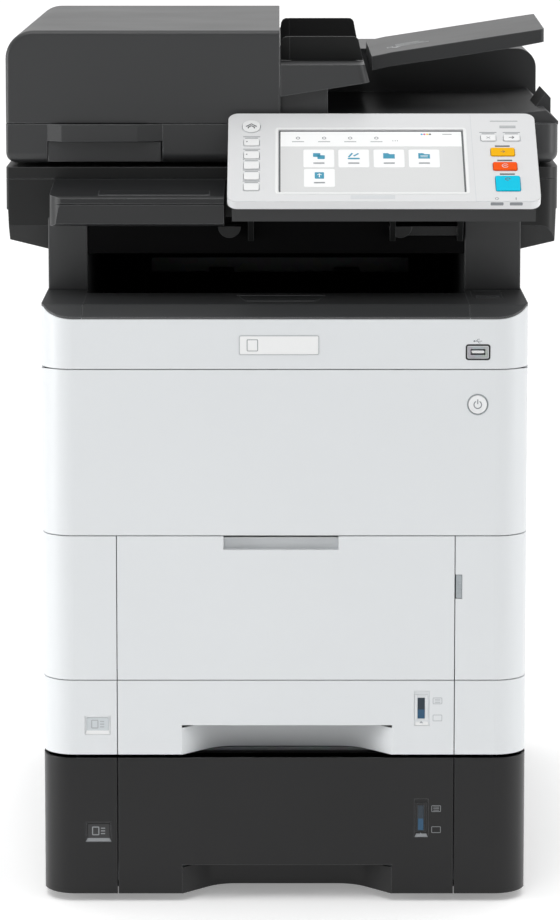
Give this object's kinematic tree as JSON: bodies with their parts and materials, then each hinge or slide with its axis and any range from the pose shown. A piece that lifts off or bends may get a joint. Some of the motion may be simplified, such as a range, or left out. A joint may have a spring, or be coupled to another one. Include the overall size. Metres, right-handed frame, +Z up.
{
  "type": "photocopier",
  "caption": "A4 multifunction copier on a paper feeder: flatbed scanner, document feeder, tilting touch panel, paper drawers, bypass tray and front output tray.",
  "frame": {"origin": "middle of the floor area under the machine, on the floor", "axes": "+X to the user's right, +Y from front to back, +Z up"},
  "size_m": [0.485, 0.577, 0.747],
  "materials": {
    "body_white": "satin moulded",
    "panel_white": "satin moulded",
    "charcoal": "fine grained",
    "feeder_black": "fine grained",
    "inner_grey": "matte",
    "frame_steel": "zinc plated",
    "rubber": "matte",
    "platen_glass": "polished",
    "key_grey": "satin",
    "key_yellow": "satin",
    "key_orange": "satin",
    "key_cyan": "satin",
    "button_white": "gloss",
    "toner_plastic": "satin"
  },
  "bodies": {
    "chassis": {"left_side_cover": "body_white", "right_side_cover": "body_white", "rear_panel": "body_white", "upper_front_cover": "body_white", "front_panels": "body_white", "left_upright": "charcoal", "right_upright": "charcoal", "output_tray": "charcoal", "exit_unit": "charcoal", "scanner_base": "charcoal", "scanner_top_frame": "charcoal", "panel_shelf": "charcoal", "power_inlet": "charcoal", "feeder_frame": "feeder_black", "inner_front_panel": "inner_grey", "fuser_unit": "inner_grey", "imaging_units": "inner_grey", "main_frame": "frame_steel", "usb_port": "frame_steel", "feet": "rubber", "platen_glass": "platen_glass", "toner_containers": "toner_plastic"},
    "rear_cover": {"rear_cover": "body_white"},
    "front_cover": {"front_cover": "body_white"},
    "power_button": {"power_button": "button_white"},
    "mp_tray": {"mp_tray": "body_white"},
    "mp_guide_left": {"mp_guide_left": "inner_grey"},
    "mp_guide_right": {"mp_guide_right": "inner_grey"},
    "cassette_1": {"cassette_1_tray": "inner_grey", "cassette_1_front": "body_white"},
    "cassette_1_guide_left": {"cassette_1_guide_left": "inner_grey"},
    "cassette_1_guide_right": {"cassette_1_guide_right": "inner_grey"},
    "cassette_1_end_guide": {"cassette_1_end_guide": "inner_grey"},
    "cassette_1_lift_plate": {"cassette_1_lift_plate": "frame_steel"},
    "cassette_2": {"cassette_2_tray": "inner_grey", "cassette_2_front": "feeder_black"},
    "cassette_2_guide_left": {"cassette_2_guide_left": "inner_grey"},
    "cassette_2_guide_right": {"cassette_2_guide_right": "inner_grey"},
    "cassette_2_end_guide": {"cassette_2_end_guide": "inner_grey"},
    "cassette_2_lift_plate": {"cassette_2_lift_plate": "frame_steel"},
    "output_stopper": {"output_stopper": "charcoal"},
    "release_lever": {"release_lever": "charcoal"},
    "document_feeder": {"document_feeder": "charcoal"},
    "feeder_cover": {"feeder_cover": "charcoal"},
    "document_tray": {"document_tray": "charcoal"},
    "document_guide_front": {"document_guide_front": "charcoal"},
    "document_guide_rear": {"document_guide_rear": "charcoal"},
    "scan_carriage": {"scan_carriage": "inner_grey"},
    "operation_panel": {"operation_panel": "panel_white"},
    "home_key": {"home_key": "key_grey"},
    "log_out_key": {"log_out_key": "key_grey"},
    "status_key": {"status_key": "key_grey"},
    "box_key": {"box_key": "key_grey"},
    "program_key": {"program_key": "key_grey"},
    "energy_saver_key": {"energy_saver_key": "key_grey"},
    "clear_key": {"clear_key": "key_grey"},
    "enter_key": {"enter_key": "key_grey"},
    "reset_key": {"reset_key": "key_yellow"},
    "stop_key": {"stop_key": "key_orange"},
    "start_key": {"start_key": "key_cyan"}
  },
  "joints": [
    {"name": "rear_cover_hinge", "type": "hinge", "parent": "chassis", "child": "rear_cover", "pos_m": [0, 0.2865, 0.2205], "axis": [-1, 0, 0], "range_deg": [0, 90]},
    {"name": "front_cover_hinge", "type": "hinge", "parent": "chassis", "child": "front_cover", "pos_m": [0, -0.2865, 0.3265], "axis": [1, 0, 0], "range_deg": [0, 90]},
    {"name": "power_button_press", "type": "slide", "parent": "front_cover", "child": "power_button", "axis": [0, 1, 0], "range_m": [0, 0.0015], "stiffness_N_per_m": 400, "springref_m": -0.001},
    {"name": "mp_tray_hinge", "type": "hinge", "parent": "chassis", "child": "mp_tray", "pos_m": [0, -0.2865, 0.2009], "axis": [1, 0, 0], "range_deg": [0, 85]},
    {"name": "mp_guide_left_slide", "type": "slide", "parent": "mp_tray", "child": "mp_guide_left", "axis": [1, 0, 0], "range_m": [0, 0.065]},
    {"name": "mp_guide_right_slide", "type": "slide", "parent": "mp_tray", "child": "mp_guide_right", "axis": [1, 0, 0], "range_m": [-0.065, 0]},
    {"name": "cassette_1_slide", "type": "slide", "parent": "chassis", "child": "cassette_1", "axis": [0, -1, 0], "range_m": [0, 0.38]},
    {"name": "cassette_1_guide_left_slide", "type": "slide", "parent": "cassette_1", "child": "cassette_1_guide_left", "axis": [1, 0, 0], "range_m": [0, 0.05]},
    {"name": "cassette_1_guide_right_slide", "type": "slide", "parent": "cassette_1", "child": "cassette_1_guide_right", "axis": [1, 0, 0], "range_m": [-0.05, 0]},
    {"name": "cassette_1_end_guide_slide", "type": "slide", "parent": "cassette_1", "child": "cassette_1_end_guide", "axis": [0, 1, 0], "range_m": [-0.087, 0.066]},
    {"name": "cassette_1_lift", "type": "hinge", "parent": "cassette_1", "child": "cassette_1_lift_plate", "pos_m": [0, -0.041, 0.1371], "axis": [-1, 0, 0], "range_deg": [0, 12]},
    {"name": "cassette_2_slide", "type": "slide", "parent": "chassis", "child": "cassette_2", "axis": [0, -1, 0], "range_m": [0, 0.38]},
    {"name": "cassette_2_guide_left_slide", "type": "slide", "parent": "cassette_2", "child": "cassette_2_guide_left", "axis": [1, 0, 0], "range_m": [0, 0.05]},
    {"name": "cassette_2_guide_right_slide", "type": "slide", "parent": "cassette_2", "child": "cassette_2_guide_right", "axis": [1, 0, 0], "range_m": [-0.05, 0]},
    {"name": "cassette_2_end_guide_slide", "type": "slide", "parent": "cassette_2", "child": "cassette_2_end_guide", "axis": [0, 1, 0], "range_m": [-0.087, 0.066]},
    {"name": "cassette_2_lift", "type": "hinge", "parent": "cassette_2", "child": "cassette_2_lift_plate", "pos_m": [0, -0.041, 0.0151], "axis": [-1, 0, 0], "range_deg": [0, 22]},
    {"name": "output_stopper_hinge", "type": "hinge", "parent": "chassis", "child": "output_stopper", "pos_m": [0, -0.213, 0.5165], "axis": [-1, 0, 0], "range_deg": [0, 95]},
    {"name": "release_lever_hinge", "type": "hinge", "parent": "chassis", "child": "release_lever", "pos_m": [0.178, -0.168, 0.5165], "axis": [-1, 0, 0], "range_deg": [0, 15]},
    {"name": "document_feeder_hinge", "type": "hinge", "parent": "chassis", "child": "document_feeder", "pos_m": [0, 0.2825, 0.641], "axis": [-1, 0, 0], "range_deg": [0, 60]},
    {"name": "feeder_cover_hinge", "type": "hinge", "parent": "document_feeder", "child": "feeder_cover", "pos_m": [-0.241, 0.05, 0.669], "axis": [0, -1, 0], "range_deg": [0, 75]},
    {"name": "document_tray_hinge", "type": "hinge", "parent": "document_feeder", "child": "document_tray", "pos_m": [0.08, 0, 0.717], "axis": [0, -1, 0], "range_deg": [0, 25]},
    {"name": "document_guide_front_slide", "type": "slide", "parent": "document_feeder", "child": "document_guide_front", "axis": [0, 1, 0], "range_m": [-0.003, 0.05]},
    {"name": "document_guide_rear_slide", "type": "slide", "parent": "document_feeder", "child": "document_guide_rear", "axis": [0, 1, 0], "range_m": [-0.05, 0.003]},
    {"name": "scan_carriage_slide", "type": "slide", "parent": "chassis", "child": "scan_carriage", "axis": [1, 0, 0], "range_m": [0, 0.34]},
    {"name": "operation_panel_tilt", "type": "hinge", "parent": "chassis", "child": "operation_panel", "pos_m": [0.0865, -0.196, 0.594], "axis": [1, 0, 0], "range_deg": [0, 30]},
    {"name": "home_key_press", "type": "slide", "parent": "operation_panel", "child": "home_key", "axis": [0, 0.5373, -0.8434], "range_m": [0, 0.001], "stiffness_N_per_m": 300, "springref_m": -0.001},
    {"name": "log_out_key_press", "type": "slide", "parent": "operation_panel", "child": "log_out_key", "axis": [0, 0.5373, -0.8434], "range_m": [0, 0.001], "stiffness_N_per_m": 300, "springref_m": -0.001},
    {"name": "status_key_press", "type": "slide", "parent": "operation_panel", "child": "status_key", "axis": [0, 0.5373, -0.8434], "range_m": [0, 0.001], "stiffness_N_per_m": 300, "springref_m": -0.001},
    {"name": "box_key_press", "type": "slide", "parent": "operation_panel", "child": "box_key", "axis": [0, 0.5373, -0.8434], "range_m": [0, 0.001], "stiffness_N_per_m": 300, "springref_m": -0.001},
    {"name": "program_key_press", "type": "slide", "parent": "operation_panel", "child": "program_key", "axis": [0, 0.5373, -0.8434], "range_m": [0, 0.001], "stiffness_N_per_m": 300, "springref_m": -0.001},
    {"name": "energy_saver_key_press", "type": "slide", "parent": "operation_panel", "child": "energy_saver_key", "axis": [0, 0.5373, -0.8434], "range_m": [0, 0.001], "stiffness_N_per_m": 300, "springref_m": -0.001},
    {"name": "clear_key_press", "type": "slide", "parent": "operation_panel", "child": "clear_key", "axis": [0, 0.5373, -0.8434], "range_m": [0, 0.001], "stiffness_N_per_m": 300, "springref_m": -0.001},
    {"name": "enter_key_press", "type": "slide", "parent": "operation_panel", "child": "enter_key", "axis": [0, 0.5373, -0.8434], "range_m": [0, 0.001], "stiffness_N_per_m": 300, "springref_m": -0.001},
    {"name": "reset_key_press", "type": "slide", "parent": "operation_panel", "child": "reset_key", "axis": [0, 0.5373, -0.8434], "range_m": [0, 0.001], "stiffness_N_per_m": 300, "springref_m": -0.001},
    {"name": "stop_key_press", "type": "slide", "parent": "operation_panel", "child": "stop_key", "axis": [0, 0.5373, -0.8434], "range_m": [0, 0.001], "stiffness_N_per_m": 300, "springref_m": -0.001},
    {"name": "start_key_press", "type": "slide", "parent": "operation_panel", "child": "start_key", "axis": [0, 0.5373, -0.8434], "range_m": [0, 0.001], "stiffness_N_per_m": 300, "springref_m": -0.001}
  ],
  "couplings": [
    {"joint": "mp_guide_right_slide", "follows": "mp_guide_left_slide", "ratio": -1},
    {"joint": "cassette_1_guide_right_slide", "follows": "cassette_1_guide_left_slide", "ratio": -1},
    {"joint": "cassette_2_guide_right_slide", "follows": "cassette_2_guide_left_slide", "ratio": -1},
    {"joint": "document_guide_rear_slide", "follows": "document_guide_front_slide", "ratio": -1}
  ]
}
